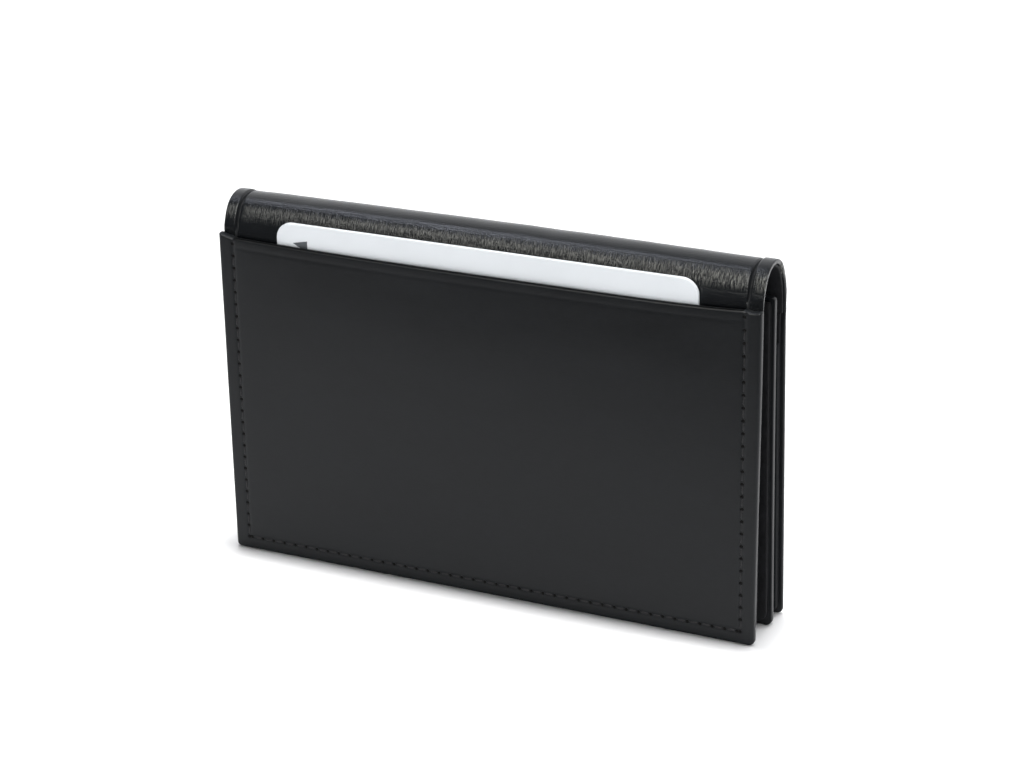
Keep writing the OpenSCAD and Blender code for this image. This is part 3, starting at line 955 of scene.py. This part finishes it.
board_low, board_high = box("leaf_board")
leaf_fibre = panel(
    "leaf_fibre_board", board_high.x, board_high.z - board_low.z, at_leaf, fibre_board, "stiffening_board",
    lambda x, z: LEATHER + 0.01, lambda x, z: LEATHER + board_high.y - board_low.y - 0.01, 0.05, 0.05,
    low_r=0.5, high_r=0.5, step=4, base=board_low.z)
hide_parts("leaf_board")
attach(leaf_fibre, "leaf")

leaf_threads = thread_piece(
    "leaf_seam_thread",
    [(at_leaf(x, leaf_outer(x, z), z), direction, Vector((0, 1, 0)))
     for x, z, direction in seam_places(SEAM_HALF, SEAM_LIFT, SEAM_TOP)], thread)
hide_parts("leaf_stitches")
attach(leaf_threads, "leaf")


# ---- Gusset ----

FLANGE_T = flange_high.y - flange_low.y
GUSSET_T = 0.36
GUSSET_X = joint_point("gusset_right_front_fold").x
GUSSET_Z = joint_point("gusset_bottom_front_fold").z
GUSSET_FRONT_Y = joint_point("gusset_right_front_fold").y
GUSSET_BACK_Y = joint_point("gusset_right_back_fold").y


def flange_path(half, width, base, top):
    """Pairs (outside, inside) of (x, z) along the U: down the left side, across, and up the right."""
    inner = half - width
    left = [top - (top - base - width) * i / 40 for i in range(41)]
    left = [((-half, z), (-inner, max(z, GUSSET_Z))) for z in left]
    for i in range(1, 9):
        angle = math.pi / 2 * i / 9
        outside = (-inner - width * math.cos(angle), base + width - width * math.sin(angle))
        left.append((outside, (-inner, GUSSET_Z)))
    across = [2 * inner * i / 60 - inner for i in range(61)]
    across = [((x, base), (x, GUSSET_Z)) for x in across]
    right = [((-a, b), (-c, d)) for (a, b), (c, d) in reversed(left)]
    return left + across + right


def flange_piece(name, node, half, face_y, lean, body):
    """U-shaped sewn flange of the gusset strip, made as one band that follows the seam."""
    low, high = box(node)
    width = half - GUSSET_X
    steps = [0, 0.03, 0.12, 0.5, 0.88, 0.97, 1]
    front, back, uvs = [], [], []
    for outside, inside in flange_path(half, width, low.z, high.z):
        f_column, b_column, uv_column = [], [], []
        for t in steps:
            x, z = Vector(outside).lerp(Vector(inside), t)
            fall = rounding(min(t, 1 - t) * width, 0.12)
            y = face_y + lean(z)
            f_column.append(Vector((x, y + fall, z)))
            b_column.append(Vector((x, y + FLANGE_T - fall, z)))
            uv_column.append((x, z))
        front.append(f_column)
        back.append(b_column)
        uvs.append(uv_column)
    points, faces, texture = grid_solid(front, back, uvs)
    piece = mesh_piece(name, points, faces, texture, lining, "lining_leather")
    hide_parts(node)
    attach(piece, body)


flange_piece("gusset_sewn_flange_front", "gusset_flange_front", flange_high.x, flange_low.y + 0.005,
             lambda z: 0.0, "front_half")
leaf_flange_low, leaf_flange_high = box("gusset_flange_leaf")
flange_piece("gusset_sewn_flange_leaf", "gusset_flange_leaf", leaf_flange_high.x, leaf_flange_low.y, leaf_lean,
             "leaf")


def gusset_wall(node, kind, sign, fold_y, seam_y):
    """One folding wall, from its sewn line to the fold, with a soft rolled edge at the fold."""
    low, high = box(node)
    half_t = GUSSET_T / 2
    if kind == "side":
        reach = GUSSET_X - min(abs(low.x), abs(high.x))
        top_near, top_far = high.z, high.z - 1.5
        low_near = low.z
        low_far = GUSSET_Z + reach + 0.3
    else:
        reach = high.z - GUSSET_Z
        wide_near, wide_far = high.x, high.x - reach
    lean = math.atan2(fold_y - seam_y, reach)
    rolled = [reach - 0.18 * (1 - math.cos(math.pi / 2 * i / 5)) for i in range(6)]
    us = merge(positions(0.12, reach, 0.6), rolled)
    n = 44
    front, back, uvs = [], [], []
    for u in us:
        t = (u - 0.12) / (reach - 0.12)
        f_column, b_column, uv_column = [], [], []
        for j in range(n + 1):
            v = j / n
            pucker = 0.05 * math.sin(math.pi * t) * ripple(v * 40, u, 6, 41 + sign)
            thin = half_t * (1 - 0.6 * smooth((u - reach + 0.25) / 0.25) ** 2)
            if kind == "side":
                z = (low_near + (low_far - low_near) * t) * (1 - v) + (top_near + (top_far - top_near) * t) * v
                across = Vector((-sign * math.cos(lean), math.sin(lean), 0))
                base = Vector((sign * GUSSET_X, seam_y, z))
                normal = Vector((sign * math.sin(lean), math.cos(lean), 0))
                uv = (z, u)
            else:
                half = wide_near + (wide_far - wide_near) * t
                x = half * (2 * v - 1)
                across = Vector((0, math.sin(lean), math.cos(lean)))
                base = Vector((x, seam_y, GUSSET_Z))
                normal = Vector((0, math.cos(lean), -math.sin(lean)))
                uv = (x, u)
            part = 0.5 * t if seam_y == GUSSET_FRONT_Y else 1 - 0.5 * t
            centre = base + across * u + normal * pucker + Vector((0, part * leaf_lean(base.z), 0))
            f_column.append(centre - normal * thin)
            b_column.append(centre + normal * thin)
            uv_column.append(uv)
        front.append(f_column)
        back.append(b_column)
        uvs.append(uv_column)
    points, faces, texture = grid_solid(front, back, uvs)
    piece = mesh_piece(node + "_wall", points, faces, texture, lining, "lining_leather")
    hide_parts(node)
    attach(piece, node)


def gusset_fold_y(node, seam_y):
    """Depth of the fold end's middle line, from the CAD wall's box."""
    low, high = box(node)
    half_t = 0.2
    return high.y - half_t if high.y - seam_y > seam_y - low.y else low.y + half_t


for name, sign in (("left", -1), ("right", 1)):
    for layer, seam_y in (("front", GUSSET_FRONT_Y), ("back", GUSSET_BACK_Y)):
        node = f"gusset_{name}_{layer}"
        gusset_wall(node, "side", sign, gusset_fold_y(node, seam_y), seam_y)
for layer, seam_y in (("front", GUSSET_FRONT_Y), ("back", GUSSET_BACK_Y)):
    node = f"gusset_bottom_{layer}"
    gusset_wall(node, "bottom", 1, gusset_fold_y(node, seam_y), seam_y)


# ---- Card ----

CARD_X = (card_low.x + card_high.x) / 2
CARD_HALF = (card_high.x - card_low.x) / 2
CARD_H = card_high.z - card_low.z
CARD_T = card_high.y - card_low.y
CARD_R = 3.18


def at_card(x, depth, z):
    return Vector((CARD_X + x, card_low.y + depth, z))


card = panel(
    "card_body", CARD_HALF, CARD_H, at_card, card_white, "card_plastic",
    lambda x, z: 0.0, lambda x, z: CARD_T, 0.12, 0.12, low_r=CARD_R, high_r=CARD_R,
    rows=[(CARD_H - CARD_R / 2, CARD_R / 2, 0.12), (CARD_R / 2, CARD_R / 2, 0.3)], step=2.0,
    base=card_low.z)
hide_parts("card")
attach(card, "card")


def print_mark():
    """A plain printed arrow head with a bar, on the card's face at its upper left."""
    lift = 0.012
    top = CARD_H - 3.75
    left = -CARD_HALF + 3.5
    points, faces, uvs = [], [], []

    def shape(corners):
        first = len(points)
        for depth in (-lift, 0.0):
            for x, z in corners:
                points.append(at_card(x, depth, card_low.z + z))
                uvs.append((x, z))
        n = len(corners)
        faces.append(tuple(range(first, first + n)))
        faces.append(tuple(reversed(range(first + n, first + 2 * n))))
        for i in range(n):
            a, b = first + i, first + (i + 1) % n
            faces.append((a, a + n, b + n, b))

    shape([(left, top), (left + 2.3, top - 1.3), (left + 2.3, top + 0.5)])
    shape([(left + 2.3, top - 2.8), (left + 3.1, top - 2.8), (left + 3.1, top + 0.65),
           (left + 2.3, top + 0.5)])
    return points, faces, uvs


mark = mesh_piece("card_printed_mark", *print_mark(), card_print, "card_plastic")
mark.data.polygons.foreach_set("use_smooth", [False] * len(mark.data.polygons))
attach(mark, "card")


# ---- CAD piece that stays inside the flap ----

flap_board = frame["nodes"]["flap_board"].data
flap_board.materials.clear()
flap_board.materials.append(fibre_board)


# ---- Floor, light and camera ----

def floor_material():
    nodes = Nodes("pale_floor")
    cloud = nodes.noise(nodes.uv, 3.0, 2.0)
    nodes.link(nodes.mix_colour(cloud, (0.86, 0.86, 0.865), (0.88, 0.88, 0.885)),
               nodes.shader.inputs["Base Color"])
    nodes.link(nodes.ramp(cloud, 0.3, 0.7, 0.8, 0.9), nodes.shader.inputs["Roughness"])
    nodes.shader.inputs["Specular IOR Level"].default_value = 0.2
    return nodes.material


def make_floor():
    size = 6.0
    mesh = bpy.data.meshes.new("floor")
    corners = [(-size, -size, 0), (size, -size, 0), (size, size, 0), (-size, size, 0)]
    mesh.from_pydata(corners, [], [(0, 1, 2, 3)])
    layer = mesh.uv_layers.new(name="UVMap")
    for corner, uv in zip(layer.data, ((0, 0), (1, 0), (1, 1), (0, 1))):
        corner.uv = uv
    mesh.materials.append(floor_material())
    floor = bpy.data.objects.new("floor", mesh)
    bpy.context.scene.collection.objects.link(floor)


def area_light(name, place, target, width, height, power, gloss, colour=(1, 1, 1)):
    """A softbox. Those with gloss are only mirrored, and the others only shed light."""
    light = bpy.data.lights.new(name, "AREA")
    light.shape = "RECTANGLE"
    light.size, light.size_y = width, height
    light.energy = power
    light.color = colour
    lamp = bpy.data.objects.new(name, light)
    lamp.location = place
    lamp.rotation_euler = (Vector(target) - Vector(place)).to_track_quat("-Z", "Y").to_euler()
    lamp.visible_glossy = gloss
    lamp.visible_diffuse = not gloss
    bpy.context.scene.collection.objects.link(lamp)


def make_world():
    """A pale backdrop behind the case and a darker room in front of it."""
    world = bpy.data.worlds.new("studio")
    bpy.context.scene.world = world
    world.use_nodes = True
    tree = world.node_tree
    place = tree.nodes.new("ShaderNodeTexCoord")
    split = tree.nodes.new("ShaderNodeSeparateXYZ")
    tree.links.new(place.outputs["Generated"], split.inputs[0])
    shade = tree.nodes.new("ShaderNodeMapRange")
    shade.interpolation_type = "SMOOTHSTEP"
    tree.links.new(split.outputs["Y"], shade.inputs["Value"])
    for key, number in (("From Min", -0.15), ("From Max", 0.55), ("To Min", 0.07), ("To Max", 1.3)):
        shade.inputs[key].default_value = number
    tree.links.new(shade.outputs[0], tree.nodes["Background"].inputs["Strength"])
    tree.nodes["Background"].inputs["Color"].default_value = (0.97, 0.98, 1.0, 1)


def make_flag():
    """Black card on the floor in front of the case, out of the camera's sight. Only gloss sees it."""
    edge_y, far_y, reach, slant = -0.12, -1.6, 1.6, 0.3
    mesh = bpy.data.meshes.new("black_flag")
    mesh.from_pydata(
        [(-reach, edge_y - slant * reach, 0.001), (reach, edge_y + slant * reach, 0.001), (reach, far_y, 0.001),
         (-reach, far_y, 0.001)], [], [(0, 1, 2, 3)])
    nodes = Nodes("black_flag")
    nodes.shader.inputs["Base Color"].default_value = (0.02, 0.02, 0.02, 1)
    nodes.shader.inputs["Roughness"].default_value = 0.9
    mesh.materials.append(nodes.material)
    flag = bpy.data.objects.new("black_flag", mesh)
    flag.visible_camera = False
    flag.visible_diffuse = False
    flag.visible_shadow = False
    flag.visible_transmission = False
    bpy.context.scene.collection.objects.link(flag)


make_floor()
make_flag()
make_world()
area_light("overhead_key", (0, 0.075, 2.5), (0, 0, 0), 0.37, 0.19, 64, False)
area_light("right_fill", (1.5, 0.2, 1.1), (0.05, 0, 0), 0.8, 0.6, 9, False)
area_light("low_front_fill", (0.5, -1.9, 0.45), (0, 0, 0.05), 1.2, 0.5, 16, False)
area_light("mirrored_softbox", (0.06, -0.87, 0.9), (0, 0, 0.06), 1.0, 0.76, 17.5, True, (1.0, 0.99, 0.94))
area_light("mirrored_strip", (-0.5, -0.6, 2.5), (0, 0, 0.06), 3.0, 0.1, 20, True, (0.84, 0.88, 1.0))

CAMERA_AZIMUTH = math.radians(26.1)
CAMERA_ELEVATION = math.radians(21.6)
CAMERA_ROLL = math.radians(-1.12)
CAMERA_DISTANCE = 0.4926
CAMERA_LENS = 94.1

camera_data = bpy.data.cameras.new("camera")
camera_data.sensor_width = 36
camera_data.lens = CAMERA_LENS
camera_data.clip_start = 0.01
camera = bpy.data.objects.new("camera", camera_data)
back = Vector((
    math.sin(CAMERA_AZIMUTH) * math.cos(CAMERA_ELEVATION),
    -math.cos(CAMERA_AZIMUTH) * math.cos(CAMERA_ELEVATION),
    math.sin(CAMERA_ELEVATION)))
level = Vector((0, 0, 1)).cross(back).normalized()
upward = back.cross(level)
right = math.cos(CAMERA_ROLL) * level + math.sin(CAMERA_ROLL) * upward
up = math.cos(CAMERA_ROLL) * upward - math.sin(CAMERA_ROLL) * level
target = Vector((0.00663, FRONT * MM, 0.68 * MOUTH * MM))
place = target + CAMERA_DISTANCE * back
camera.matrix_world = Matrix((
    (right.x, up.x, back.x, place.x),
    (right.y, up.y, back.y, place.y),
    (right.z, up.z, back.z, place.z),
    (0, 0, 0, 1)))
bpy.context.scene.collection.objects.link(camera)
bpy.context.scene.camera = camera
bpy.context.scene.view_settings.view_transform = "Standard"
